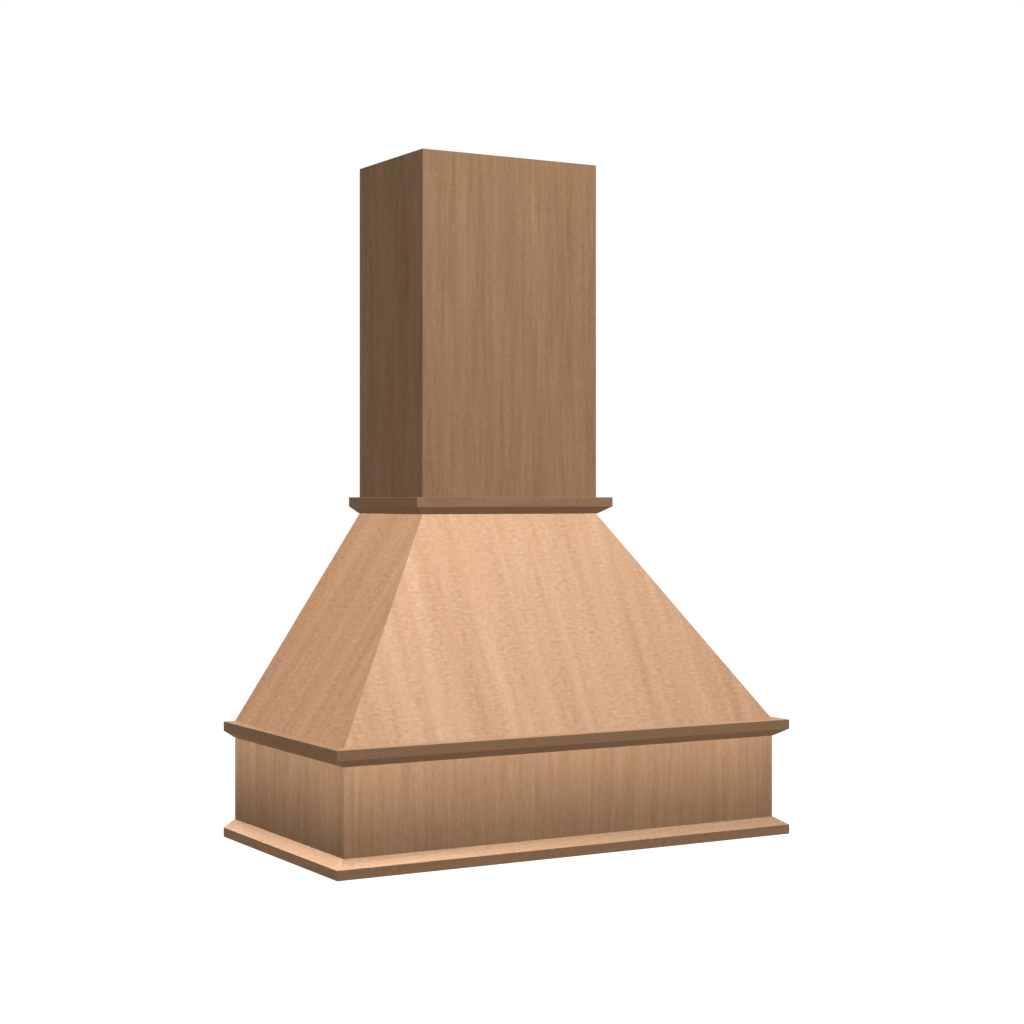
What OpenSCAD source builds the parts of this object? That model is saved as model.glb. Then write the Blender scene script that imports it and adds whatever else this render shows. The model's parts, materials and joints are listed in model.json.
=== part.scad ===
// Wooden cover for a wall-hung kitchen range hood: an apron box, a tapered canopy and a chimney box.
// The origin is the middle of the bottom edge in the wall plane, +Z is up and the front faces -Y.

/* [Overall] */
// Width of the apron box over its panels
hood_w = 914; // [800:1:1100]
// Depth of the apron box from the wall to its front face
hood_d = 488; // [430:1:600]
// Height of the whole cover
hood_h = 1302; // [1100:1:1700]
// Height of the apron box
apron_h = 221; // [195:1:300]
// Height of the tapered canopy
canopy_h = 397; // [300:1:480]
// Width of the chimney box over its panels
chimney_w = 384; // [340:1:460]
// Depth of the chimney box from the wall to its front face
chimney_d = 270; // [240:1:330]

/* [Mouldings] */
// Height of the bevelled moulding
moulding_h = 32; // [26:0.5:42]
// How far the moulding stands out from the panel that it wraps
moulding_out = 23.5; // [16:0.5:32]
// Height of the moulding's bevel
bevel_h = 14; // [8:0.5:20]
// Thickness left at the thin edge of the bevel
toe_t = 1.5; // [1:0.25:4]
// Radius of the eased edges along the moulding
arris_r = 0.5; // [0.3:0.1:2]

/* [Panels] */
// Thickness of the veneered plywood panels
panel_t = 18; // [16:0.5:20]
// Width of the plywood splines in the mitred corners
spline_w = 16; // [10:0.5:18]
// Thickness of the splines
spline_t = 4; // [3:0.25:5]
// Depth of the splines below the inner faces
spline_inset = 6; // [5:0.25:8]
// How far each spline stops short of its panels' ends
spline_stop = 18; // [12:1:30]
// Room for glue round a spline and round a screw
glue_gap = 0.1; // [0.05:0.05:0.3]

/* [Rails and cleats] */
// Thickness of the plywood rails and cleats
rail_t = 18; // [16:0.5:20]
// Height of the upright rails along the wall
rail_h = 89; // [80:1:100]
// Width of the flat rails round the waist
waist_rail_w = 60; // [50:1:70]
// Depth of the rabbet that holds the waist rails, into the apron panels
rabbet_w = 9; // [6:0.5:11]
// Width of the neck rails on their upper face
neck_rail_w = 20; // [17:0.5:24]
// Height of the cleats in the foot of the chimney
neck_cleat_h = 38; // [32:1:44]
// Height of the bevelled cleats in the foot of the canopy
canopy_cleat_h = 25; // [22:1:30]
// Width of the bevelled cleats on their lower face
canopy_cleat_w = 38; // [32:1:46]
// Height of the cleats above the liner panel
liner_cleat_h = 25; // [20:1:28]

/* [Blocks] */
// Leg of the three-cornered glue blocks in the upright corners
block_leg = 32; // [24:1:40]
// Length of one glue block
block_len = 90; // [60:1:110]
// Number of glue blocks in each corner of the chimney
chimney_blocks = 4; // [2:1:5]
// Leg of the hip battens inside the canopy
batten_leg = 36; // [28:1:44]

/* [Liner panel] */
// Thickness of the liner panel
liner_t = 12; // [10:0.5:15]
// Recess of the liner panel above the bottom edge
liner_lift = 25; // [18:1:28]
// Width of the cut-out for the ventilation insert
cutout_w = 724; // [560:1:740]
// Depth of the cut-out for the ventilation insert
cutout_d = 305; // [260:1:320]
// Room between the liner panel's edges and the apron
liner_gap = 1; // [0.5:0.25:2]

/* [Wall screws] */
// Spacing of the wall screws across the two wide rails, one stud bay
stud_spacing = 406.4; // [380:0.2:620]
// Height between the two rows of screws in the hanging rail
hanging_rows = 44; // [36:1:56]
// Spacing of the screws in the chimney's top rail
chimney_spacing = 200; // [140:1:230]
// Diameter of the wall screw holes
wall_hole_d = 7; // [5:0.25:8]

/* [Assembly screws] */
// Diameter of a screw's shank
screw_d = 4; // [3.5:0.25:5]
// Diameter of a screw's head
screw_head_d = 8; // [7:0.25:9]
// Height of a screw's head
screw_head_h = 2.5; // [2:0.25:3]
// Length of a screw's point
screw_tip = 5; // [3:0.5:7]
// How deep the screws that run up and down bite into the far piece
screw_bite = 12; // [9:0.5:14]
// Length of a pocket screw under its head
pocket_screw_len = 32; // [26:0.5:33]
// Diameter of a drilled pocket
pocket_d = 9.5; // [8.5:0.25:10]
// Angle of a drilled pocket to its rail
pocket_angle = 15; // [12:0.5:18]
// Wood left between a pocket's floor and the rail's end
pocket_ledge = 17; // [16:0.5:20]
// Distance of the pockets from the rail's long edges
pocket_edge = 22; // [16:1:28]

/* [Hidden] */
$fn = 32;

// Heights of the seams
neck_z = apron_h + canopy_h;
waist_rail_z = apron_h - rail_t;
neck_rail_z = neck_z - rail_t;
liner_top = liner_lift + liner_t;
liner_cleat_top = liner_top + liner_cleat_h;
canopy_cleat_top = apron_h + canopy_cleat_h;
neck_cleat_top = neck_z + neck_cleat_h;

// Each box is [bottom width, bottom depth, top width, top depth, bottom height, top height]
APRON = [hood_w, hood_d, hood_w, hood_d, 0, apron_h];
CANOPY = [hood_w, hood_d, chimney_w, chimney_d, apron_h, neck_z];
CHIMNEY = [chimney_w, chimney_d, chimney_w, chimney_d, neck_z, hood_h];

// A length past every face of the cover, and a small overshoot for cuts
far = 2 * (hood_w + hood_h);
cut = 1;

// Colours
VENEER = "#c49a73";
CANOPY_VENEER = "#dcb08a";
MOULDING = "#a87c5a";
PLYWOOD = "#d9bd92";
BLOCK_WOOD = "#cfae80";
STEEL = "#b9b6ac";

// Geometry of a box whose sides and front may lean inwards

function unit(v) = v / norm(v);
function rise(b) = b[5] - b[4];
function side_run(b) = (b[0] - b[2]) / 2;
function front_run(b) = b[1] - b[3];
function side_reach(b) = panel_t * norm([side_run(b), rise(b)]) / rise(b);
function front_reach(b) = panel_t * norm([front_run(b), rise(b)]) / rise(b);
function outer_half_w(b, z) = b[0] / 2 - side_run(b) * (z - b[4]) / rise(b);
function outer_d(b, z) = b[1] - front_run(b) * (z - b[4]) / rise(b);
function inner_half_w(b, z) = outer_half_w(b, z) - side_reach(b);
function inner_d(b, z) = outer_d(b, z) - front_reach(b);

// The left front corner: its foot, the edge that rises from it, and the mitre across the panels' thickness
function corner(b) = [-b[0] / 2, -b[1], b[4]];
function corner_edge(b) = [side_run(b), front_run(b), rise(b)];
function mitre(b) = [side_reach(b), front_reach(b), 0];
function mitre_normal(b) = cross(mitre(b), corner_edge(b));
function front_inward(b) = unit([0, rise(b), -front_run(b)]);
function left_inward(b) = unit([rise(b), 0, -side_run(b)]);

// Positions spread evenly from -half to half
function spread(count, half) = [for (i = [0 : count - 1]) -half + 2 * half * i / (count - 1)];

// A corner at p between a and c, rounded to radius r
function eased(a, p, c, r, steps = 4) =
    let (
        u = unit(a - p),
        v = unit(c - p),
        half = acos(u * v) / 2,
        middle = p + unit(u + v) * r / sin(half),
        start = p + u * r / tan(half) - middle,
        turn = (u.x * v.y - u.y * v.x > 0 ? -1 : 1) * (180 - 2 * half)
    )
    [for (i = [0 : steps])
        let (w = turn * i / steps)
        middle + [start.x * cos(w) - start.y * sin(w), start.x * sin(w) + start.y * cos(w)]];

module both_sides() {
    children();
    mirror([1, 0, 0]) children();
}

// A profile in (Y, Z) carried along X, and a profile in (X, Z) carried back from the front to the wall
module along_x(length) translate([-length / 2, 0, 0]) rotate([90, 0, 90]) linear_extrude(length) children();
module along_y(depth) rotate([90, 0, 0]) linear_extrude(depth) children();

// Turns +Z to a direction
module aim(direction)
    rotate([0, acos(direction.z / norm(direction)), atan2(direction.y, direction.x)]) children();

// All the space beyond a plane, on the side that its normal points to
module beyond(point, normal)
    translate(point) aim(normal) translate([-far / 2, -far / 2, 0]) cube(far);

// A box between two opposite corners
module block(low, high) translate(low) cube(high - low);

// The clear space inside a box
module inside(b)
    intersection() {
        along_x(b[0]) polygon([
            [-inner_d(b, b[4]), b[4]], [-inner_d(b, b[5]), b[5]], [0, b[5]], [0, b[4]]
        ]);
        along_y(b[1]) polygon([
            [-inner_half_w(b, b[4]), b[4]], [inner_half_w(b, b[4]), b[4]],
            [inner_half_w(b, b[5]), b[5]], [-inner_half_w(b, b[5]), b[5]]
        ]);
    }

// A spline of the left front corner, or with a gap its groove
module corner_spline(b, top_stop, gap = 0) {
    along = unit(corner_edge(b));
    across = unit(mitre_normal(b));
    in_face = cross(along, across);
    seat = corner(b) + mitre(b) * (1 - spline_inset / panel_t);
    multmatrix([
        [across.x, in_face.x, along.x, seat.x],
        [across.y, in_face.y, along.y, seat.y],
        [across.z, in_face.z, along.z, seat.z],
        [0, 0, 0, 1]
    ])
        block(
            [-spline_w / 2 - gap, -spline_t / 2 - gap, spline_stop - gap],
            [spline_w / 2 + gap, spline_t / 2 + gap, norm(corner_edge(b)) - top_stop + gap]
        );
}

// The front panel of a box, mitred and grooved at both ends
module front_panel(b, top_stop = spline_stop)
    difference() {
        along_x(b[0]) polygon([
            [-b[1], b[4]], [-b[3], b[5]], [-inner_d(b, b[5]), b[5]], [-inner_d(b, b[4]), b[4]]
        ]);
        both_sides() {
            beyond(corner(b), -mitre_normal(b));
            corner_spline(b, top_stop, glue_gap);
        }
    }

// The left panel of a box, mitred and grooved at the front and square at the wall
module left_panel(b, top_stop = spline_stop)
    difference() {
        along_y(b[1]) polygon([
            [-b[0] / 2, b[4]], [-b[2] / 2, b[5]], [-inner_half_w(b, b[5]), b[5]],
            [-inner_half_w(b, b[4]), b[4]]
        ]);
        beyond(corner(b), mitre_normal(b));
        corner_spline(b, top_stop, glue_gap);
    }

// Bevelled moulding

// The profile is (out from the panel, up), with the bevel below
function moulding_profile() =
    let (
        toe = [toe_t, 0],
        nose = [moulding_out, bevel_h],
        crown = [moulding_out, moulding_h],
        back = [0, moulding_h]
    )
    concat([[0, 0], toe], eased(toe, nose, crown, arris_r), eased(nose, crown, back, arris_r), [back]);

// The same profile set at height z, turned over where the bevel is above
function set_profile(z, turned) =
    [for (p = moulding_profile()) [p.x, z + (turned ? moulding_h - p.y : p.y)]];

// Moulding across the front of a box w wide and d deep, mitred at both ends
module moulding_front(w, d, z, turned = false)
    color(MOULDING) difference() {
        along_x(w + 2 * moulding_out)
            polygon([for (p = set_profile(z, turned)) [-d - p.x, p.y]]);
        both_sides() beyond([-w / 2, -d, 0], [-1, 1, 0]);
    }

// Moulding along the left side of a box, mitred at the front and square at the wall
module moulding_left(w, d, z, turned = false)
    color(MOULDING) difference() {
        along_y(d + moulding_out)
            polygon([for (p = set_profile(z, turned)) [-w / 2 - p.x, p.y]]);
        beyond([-w / 2, -d, 0], [1, -1, 0]);
    }

// Screws point along +Z, and a gap turns a screw into its hole

module screw_shank(length, gap) {
    cylinder(d = screw_d + 2 * gap, h = length - screw_tip);
    translate([0, 0, length - screw_tip])
        cylinder(d1 = screw_d + 2 * gap, d2 = screw_d / 4 + 2 * gap, h = screw_tip + gap);
}

// A countersunk screw with the top of its head at the origin
module flat_screw(length, gap = 0) {
    cylinder(d1 = screw_head_d + 2 * gap, d2 = screw_d + 2 * gap, h = screw_head_h);
    screw_shank(length, gap);
}

// A pan-headed screw with the underside of its head at the origin
module pan_screw(length, gap = 0) {
    translate([0, 0, -screw_head_h]) cylinder(d = screw_head_d + 2 * gap, h = screw_head_h);
    screw_shank(length, gap);
}

// Where the screws of each joint go

neck_screw_x = (inner_half_w(CANOPY, neck_z) + inner_half_w(CHIMNEY, neck_z) - rail_t) / 2;
neck_screw_y = (inner_d(CANOPY, neck_z) + inner_d(CHIMNEY, neck_z) - rail_t) / 2;

// Down through the chimney's cleats into the neck rails
module neck_screw_places() {
    for (x = spread(3, neck_screw_x - 2 * rail_t))
        translate([x, -neck_screw_y, neck_cleat_top]) aim([0, 0, -1]) children();
    both_sides() for (y = [1 / 4, 3 / 4] * neck_screw_y)
        translate([-neck_screw_x, -y, neck_cleat_top]) aim([0, 0, -1]) children();
}

canopy_foot_x = inner_half_w(CANOPY, apron_h) - canopy_cleat_w;
canopy_foot_y = inner_d(CANOPY, apron_h) - canopy_cleat_w;
canopy_screw_x = (canopy_foot_x + inner_half_w(CANOPY, canopy_cleat_top)) / 2;
canopy_screw_y = (canopy_foot_y + inner_d(CANOPY, canopy_cleat_top)) / 2;

// Down through the canopy's cleats into the waist rails
module canopy_screw_places() {
    for (x = spread(4, canopy_screw_x - canopy_cleat_w))
        translate([x, -canopy_screw_y, canopy_cleat_top]) aim([0, 0, -1]) children();
    both_sides() for (y = [1 / 4, 3 / 4] * canopy_screw_y)
        translate([-canopy_screw_x, -y, canopy_cleat_top]) aim([0, 0, -1]) children();
}

liner_screw_x = hood_w / 2 - panel_t - rail_t / 2;
liner_screw_y = hood_d - panel_t - rail_t / 2;

// Up through the liner panel into the cleats above it
module liner_screw_places() {
    for (x = spread(4, liner_screw_x - 2 * rail_t), y = [liner_screw_y, rail_t * 3 / 2])
        translate([x, -y, liner_lift]) children();
    both_sides() for (y = [1 / 3, 2 / 3] * liner_screw_y)
        translate([-liner_screw_x, -y, liner_lift]) children();
}

// From the pockets at both ends of an upright rail, level and slanting forwards, into the side panels
module pocket_places(b, low, high) {
    direction = [-cos(pocket_angle), -sin(pocket_angle), 0];
    both_sides() for (z = [low + pocket_edge, high - pocket_edge])
        translate([-inner_half_w(b, z), -rail_t / 2, z] - pocket_ledge * direction)
            aim(direction) children();
}

// All the upright rails' pockets
module all_pocket_places() {
    pocket_places(CHIMNEY, hood_h - rail_h, hood_h) children();
    pocket_places(CHIMNEY, neck_z, neck_z + rail_h) children();
    pocket_places(CANOPY, neck_z - rail_h, neck_z) children();
    pocket_places(CANOPY, apron_h, apron_h + rail_h) children();
    pocket_places(APRON, 0, rail_h) children();
}

// An upright rail along the wall between the side panels of a box, with a pocket screw at each corner
module back_rail(b, low, high)
    difference() {
        intersection() {
            inside(b);
            block([-far / 2, -rail_t, low], [far / 2, 0, high]);
        }
        pocket_places(b, low, high) {
            translate([0, 0, -far / 8]) cylinder(d = pocket_d, h = far / 8);
            pan_screw(pocket_screw_len, glue_gap);
        }
    }

// A hole for a wall screw
module wall_hole(x, z)
    translate([x, cut, z]) rotate([90, 0, 0]) cylinder(d = wall_hole_d, h = rail_t + 2 * cut);

// Chimney

module chimney_front_panel() color(VENEER) front_panel(CHIMNEY);

module chimney_left_panel()
    color(VENEER) difference() {
        left_panel(CHIMNEY);
        all_pocket_places() pan_screw(pocket_screw_len, glue_gap);
    }

module chimney_right_panel() mirror([1, 0, 0]) chimney_left_panel();

module chimney_splines() color(PLYWOOD) both_sides() corner_spline(CHIMNEY, spline_stop);

// Glue blocks fill an upright inner corner between two heights, evenly spaced
module glue_blocks(b, low, high, count) {
    clear = (high - low - count * block_len) / (count + 1);
    color(BLOCK_WOOD) both_sides() for (i = [0 : count - 1])
        translate([-inner_half_w(b, b[4]), -inner_d(b, b[4]), low + clear + i * (block_len + clear)])
            linear_extrude(block_len) polygon([[0, 0], [block_leg, 0], [0, block_leg]]);
}

module chimney_glue_blocks() glue_blocks(CHIMNEY, neck_cleat_top, hood_h, chimney_blocks);

module chimney_top_rail()
    color(PLYWOOD) difference() {
        back_rail(CHIMNEY, hood_h - rail_h, hood_h);
        both_sides() wall_hole(chimney_spacing / 2, hood_h - rail_h / 2);
    }

module chimney_bottom_rail() color(PLYWOOD) back_rail(CHIMNEY, neck_z, neck_z + rail_h);

// Cleats screwed and glued inside the chimney's foot

module neck_cleat_front()
    color(PLYWOOD) difference() {
        block(
            [-inner_half_w(CHIMNEY, neck_z), -inner_d(CHIMNEY, neck_z), neck_z],
            [inner_half_w(CHIMNEY, neck_z), rail_t - inner_d(CHIMNEY, neck_z), neck_cleat_top]
        );
        neck_screw_places() pan_screw(neck_cleat_h + screw_bite, glue_gap);
    }

module neck_cleat_left()
    color(PLYWOOD) difference() {
        block(
            [-inner_half_w(CHIMNEY, neck_z), rail_t - inner_d(CHIMNEY, neck_z), neck_z],
            [rail_t - inner_half_w(CHIMNEY, neck_z), -rail_t, neck_cleat_top]
        );
        neck_screw_places() pan_screw(neck_cleat_h + screw_bite, glue_gap);
    }

module neck_cleat_right() mirror([1, 0, 0]) neck_cleat_left();

module neck_moulding_front() moulding_front(chimney_w, chimney_d, neck_z);
module neck_moulding_left() moulding_left(chimney_w, chimney_d, neck_z);
module neck_moulding_right() mirror([1, 0, 0]) neck_moulding_left();

// Canopy, whose front corners are compound mitres along the hips

module canopy_front_panel() color(CANOPY_VENEER) front_panel(CANOPY);

module canopy_left_panel()
    color(CANOPY_VENEER) difference() {
        left_panel(CANOPY);
        all_pocket_places() pan_screw(pocket_screw_len, glue_gap);
    }

module canopy_right_panel() mirror([1, 0, 0]) canopy_left_panel();

module hip_splines() color(PLYWOOD) both_sides() corner_spline(CANOPY, spline_stop);

// A three-cornered batten glued along the inside of a hip
module hip_batten_left() {
    inward = unit(front_inward(CANOPY) + left_inward(CANOPY));
    thickness = batten_leg * sqrt((1 - front_inward(CANOPY) * left_inward(CANOPY)) / 2);
    color(BLOCK_WOOD) difference() {
        intersection() {
            inside(CANOPY);
            block([-far / 2, -far / 2, canopy_cleat_top], [0, 0, neck_rail_z]);
        }
        beyond(corner(CANOPY) + mitre(CANOPY) + thickness * inward, inward);
    }
}

module hip_batten_right() mirror([1, 0, 0]) hip_batten_left();

// Flat rails inside the canopy's top, flush with its upper edges

neck_open_x = inner_half_w(CANOPY, neck_z) - neck_rail_w;
neck_open_y = inner_d(CANOPY, neck_z) - neck_rail_w;

module neck_rail_front()
    color(PLYWOOD) difference() {
        intersection() {
            inside(CANOPY);
            block([-far / 2, -far / 2, neck_rail_z], [far / 2, -neck_open_y, neck_z]);
        }
        neck_screw_places() pan_screw(neck_cleat_h + screw_bite, glue_gap);
    }

module neck_rail_left()
    color(PLYWOOD) difference() {
        intersection() {
            inside(CANOPY);
            block([-far / 2, -neck_open_y, neck_rail_z], [-neck_open_x, -rail_t, neck_z]);
        }
        neck_screw_places() pan_screw(neck_cleat_h + screw_bite, glue_gap);
    }

module neck_rail_right() mirror([1, 0, 0]) neck_rail_left();

module canopy_top_rail() color(PLYWOOD) back_rail(CANOPY, neck_z - rail_h, neck_z);

// The rail that carries the cover on the wall
module hanging_rail()
    color(PLYWOOD) difference() {
        back_rail(CANOPY, apron_h, apron_h + rail_h);
        both_sides() for (row = [-1, 1])
            wall_hole(stud_spacing / 2, apron_h + (rail_h + row * hanging_rows) / 2);
    }

// Bevelled cleats inside the canopy's foot

module canopy_cleat_front()
    color(PLYWOOD) difference() {
        intersection() {
            inside(CANOPY);
            block([-far / 2, -far / 2, apron_h], [far / 2, -canopy_foot_y, canopy_cleat_top]);
        }
        canopy_screw_places() flat_screw(canopy_cleat_h + screw_bite, glue_gap);
    }

module canopy_cleat_left()
    color(PLYWOOD) difference() {
        intersection() {
            inside(CANOPY);
            block([-far / 2, -canopy_foot_y, apron_h], [-canopy_foot_x, -rail_t, canopy_cleat_top]);
        }
        canopy_screw_places() flat_screw(canopy_cleat_h + screw_bite, glue_gap);
    }

module canopy_cleat_right() mirror([1, 0, 0]) canopy_cleat_left();

module waist_moulding_front() moulding_front(hood_w, hood_d, apron_h - moulding_h);
module waist_moulding_left() moulding_left(hood_w, hood_d, apron_h - moulding_h);
module waist_moulding_right() mirror([1, 0, 0]) waist_moulding_left();

// Flat rails let into the apron's top, flush with its upper edges

waist_outer_x = hood_w / 2 - panel_t + rabbet_w;
waist_outer_y = hood_d - panel_t + rabbet_w;

module waist_rail_front()
    color(PLYWOOD) difference() {
        block(
            [-waist_outer_x, -waist_outer_y, waist_rail_z],
            [waist_outer_x, waist_rail_w - waist_outer_y, apron_h]
        );
        canopy_screw_places() flat_screw(canopy_cleat_h + screw_bite, glue_gap);
    }

module waist_rail_left()
    color(PLYWOOD) difference() {
        block(
            [-waist_outer_x, waist_rail_w - waist_outer_y, waist_rail_z],
            [waist_rail_w - waist_outer_x, 0, apron_h]
        );
        canopy_screw_places() flat_screw(canopy_cleat_h + screw_bite, glue_gap);
    }

module waist_rail_right() mirror([1, 0, 0]) waist_rail_left();

// Apron, with a rabbet round its inner top edge

module waist_rabbet()
    block([-waist_outer_x, -waist_outer_y, waist_rail_z], [waist_outer_x, cut, apron_h + cut]);

module apron_front_panel()
    color(VENEER) difference() {
        front_panel(APRON, rail_t + spline_stop);
        waist_rabbet();
    }

module apron_left_panel()
    color(VENEER) difference() {
        left_panel(APRON, rail_t + spline_stop);
        waist_rabbet();
        all_pocket_places() pan_screw(pocket_screw_len, glue_gap);
    }

module apron_right_panel() mirror([1, 0, 0]) apron_left_panel();

module apron_splines() color(PLYWOOD) both_sides() corner_spline(APRON, rail_t + spline_stop);

module apron_glue_blocks() glue_blocks(APRON, liner_cleat_top, waist_rail_z, 1);

// The screws clear the cleat in front of this rail
module apron_back_rail()
    color(PLYWOOD) difference() {
        back_rail(APRON, 0, rail_h);
        both_sides() wall_hole(stud_spacing / 2, (liner_cleat_top + rail_h) / 2);
    }

// The panel that carries the ventilation insert, screwed up to the cleats above it
module liner_panel() {
    half_w = hood_w / 2 - panel_t - liner_gap;
    front_y = liner_gap + panel_t - hood_d;
    back_y = -rail_t - liner_gap;
    middle_y = (front_y + back_y) / 2;
    color(PLYWOOD) difference() {
        block([-half_w, front_y, liner_lift], [half_w, back_y, liner_top]);
        block(
            [-cutout_w / 2, middle_y - cutout_d / 2, liner_lift - cut],
            [cutout_w / 2, middle_y + cutout_d / 2, liner_top + cut]
        );
        liner_screw_places() flat_screw(liner_t + screw_bite, glue_gap);
    }
}

module liner_cleat_front()
    color(PLYWOOD) difference() {
        block(
            [panel_t - hood_w / 2, panel_t - hood_d, liner_top],
            [hood_w / 2 - panel_t, panel_t + rail_t - hood_d, liner_cleat_top]
        );
        liner_screw_places() flat_screw(liner_t + screw_bite, glue_gap);
    }

module liner_cleat_back()
    color(PLYWOOD) difference() {
        block(
            [panel_t - hood_w / 2, -2 * rail_t, liner_top],
            [hood_w / 2 - panel_t, -rail_t, liner_cleat_top]
        );
        liner_screw_places() flat_screw(liner_t + screw_bite, glue_gap);
    }

module liner_cleat_left()
    color(PLYWOOD) difference() {
        block(
            [panel_t - hood_w / 2, panel_t + rail_t - hood_d, liner_top],
            [panel_t + rail_t - hood_w / 2, -2 * rail_t, liner_cleat_top]
        );
        liner_screw_places() flat_screw(liner_t + screw_bite, glue_gap);
    }

module liner_cleat_right() mirror([1, 0, 0]) liner_cleat_left();

module base_moulding_front() moulding_front(hood_w, hood_d, 0, true);
module base_moulding_left() moulding_left(hood_w, hood_d, 0, true);
module base_moulding_right() mirror([1, 0, 0]) base_moulding_left();

// Screws

module neck_screws() color(STEEL) neck_screw_places() pan_screw(neck_cleat_h + screw_bite);
module canopy_screws() color(STEEL) canopy_screw_places() flat_screw(canopy_cleat_h + screw_bite);
module liner_screws() color(STEEL) liner_screw_places() flat_screw(liner_t + screw_bite);
module pocket_screws() color(STEEL) all_pocket_places() pan_screw(pocket_screw_len);

chimney_front_panel();
chimney_left_panel();
chimney_right_panel();
chimney_splines();
chimney_glue_blocks();
chimney_top_rail();
chimney_bottom_rail();
neck_cleat_front();
neck_cleat_left();
neck_cleat_right();
neck_moulding_front();
neck_moulding_left();
neck_moulding_right();
canopy_front_panel();
canopy_left_panel();
canopy_right_panel();
hip_splines();
hip_batten_left();
hip_batten_right();
neck_rail_front();
neck_rail_left();
neck_rail_right();
canopy_top_rail();
hanging_rail();
canopy_cleat_front();
canopy_cleat_left();
canopy_cleat_right();
waist_moulding_front();
waist_moulding_left();
waist_moulding_right();
waist_rail_front();
waist_rail_left();
waist_rail_right();
apron_front_panel();
apron_left_panel();
apron_right_panel();
apron_splines();
apron_glue_blocks();
apron_back_rail();
liner_panel();
liner_cleat_front();
liner_cleat_left();
liner_cleat_right();
liner_cleat_back();
base_moulding_front();
base_moulding_left();
base_moulding_right();
neck_screws();
canopy_screws();
liner_screws();
pocket_screws();
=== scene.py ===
"""Dresses a wall-hung wooden range hood cover.

The panels are cherry-veneered plywood, the mouldings solid cherry, the hidden rails and cleats birch
plywood, the blocks and battens pine, and the screws zinc-plated steel. Lengths named in millimetres are
millimetres, and everything else is in metres.
"""

import json
import logging
import math
from dataclasses import dataclass, replace
from enum import Enum
from typing import Callable, Iterable, Mapping, Optional, Sequence, Union

import bpy
import numpy as np
from mathutils import Matrix, Vector

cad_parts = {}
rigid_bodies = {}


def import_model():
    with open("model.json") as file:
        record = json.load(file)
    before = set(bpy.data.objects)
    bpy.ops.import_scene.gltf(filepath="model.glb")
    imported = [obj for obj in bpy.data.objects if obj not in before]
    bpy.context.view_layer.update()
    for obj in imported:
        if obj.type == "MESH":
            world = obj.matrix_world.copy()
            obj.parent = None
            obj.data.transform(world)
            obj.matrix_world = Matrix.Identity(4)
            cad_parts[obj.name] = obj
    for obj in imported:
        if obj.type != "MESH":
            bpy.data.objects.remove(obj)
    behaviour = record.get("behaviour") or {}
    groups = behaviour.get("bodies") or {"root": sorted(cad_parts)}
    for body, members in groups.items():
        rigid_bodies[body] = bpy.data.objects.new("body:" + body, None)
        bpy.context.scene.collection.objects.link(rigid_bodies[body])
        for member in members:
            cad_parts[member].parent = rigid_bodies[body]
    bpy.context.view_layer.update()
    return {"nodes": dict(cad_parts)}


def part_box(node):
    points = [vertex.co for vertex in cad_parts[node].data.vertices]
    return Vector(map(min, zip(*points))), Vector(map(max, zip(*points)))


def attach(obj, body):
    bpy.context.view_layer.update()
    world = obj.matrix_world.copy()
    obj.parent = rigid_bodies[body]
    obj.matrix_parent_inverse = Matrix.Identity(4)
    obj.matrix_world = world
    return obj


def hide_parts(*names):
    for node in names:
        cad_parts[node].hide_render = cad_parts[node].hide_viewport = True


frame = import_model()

NODES: dict[str, bpy.types.Object] = frame["nodes"]
MM = 0.001
UP = Vector((0, 0, 1))
WHITE = "#ffffff"

# The grid that a mesh's points are counted on, and how near two measures have to be to be one, in metres
MICRON = 1e-6
TOUCH = 1e-5

# How far a face's normal has to point up or down for the face to be taken as level
LEVEL = 0.9

log = logging.getLogger("range_hood_cover")

Thing = bpy.types.Object
Tree = bpy.types.NodeTree
Socket = bpy.types.NodeSocket
Value = Union[float, Sequence[float], Socket]
NameTest = Callable[[str], bool]

# Places of a colour mix's sockets on its node
FACTOR, FIRST, SECOND, MIXED = 0, 6, 7, 2

# Limits between which a value starts to count and counts in full: where a band turns red, a pore begins,
# a ply gives way to the next, ripple gets strong, a face points up enough for the painted sheen, and a
# face is the end grain
BLUSH_LIMITS = {"From Min": 0.5, "From Max": 1.0, "To Max": 0.5}
PORE_LIMITS = {"From Min": 0.16, "From Max": 0.34, "To Min": 1.0, "To Max": 0.0}
GLUE_LIMITS = {"From Min": 0.42, "From Max": 0.58}
PATCH_LIMITS = {"From Min": 0.35, "From Max": 0.65}
PAINTED_SHEEN_LIMITS = {"From Min": 0.45, "From Max": 0.65}
END_LIMITS = {"From Min": 0.6, "From Max": 0.9, "To Max": 0.45}

# How many places in the noise pieces are cut from, how far on each kind of mark is cut, and how far on
# the next layer of streaks lies, across the board and out of it
SEED_COUNT = 97
SAW_LEAF, BAND_LEAF, FIBRE_LEAF = 20, 40, 60
LAYER_STEP, LAYER_SINK = 11, 5

# What a seed is divided by where it moves streaks and wavelets along the grain and patches across it, and
# how far out of the board patches lie
STREAK_SHARE, WAVE_SHARE, PATCH_SHARE, PATCH_SINK = 3, 2, 7, 3

# How far a board's own tone moves on from one place in the noise to the next, in rounds
TONE_STEP = 0.73

# Bare sanded wood hardly shines, and metal keeps its own index of refraction
WOOD_SHINE = {"IOR": 1.5, "Specular IOR Level": 0.04}
METAL_SHINE = {"Metallic": 1.0}


def linear(code: str) -> tuple[float, float, float, float]:
    """Turns an sRGB hex value to a linear colour.

    Args:
        code: Six hex digits after a hash sign.

    Returns:
        Red, green, blue and an alpha of 1.
    """
    parts = [int(code[i:i + 2], 16) / 255 for i in (1, 3, 5)]
    red, green, blue = (p / 12.92 if p <= 0.04045 else ((p + 0.055) / 1.055) ** 2.4 for p in parts)
    return red, green, blue, 1.0


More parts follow.
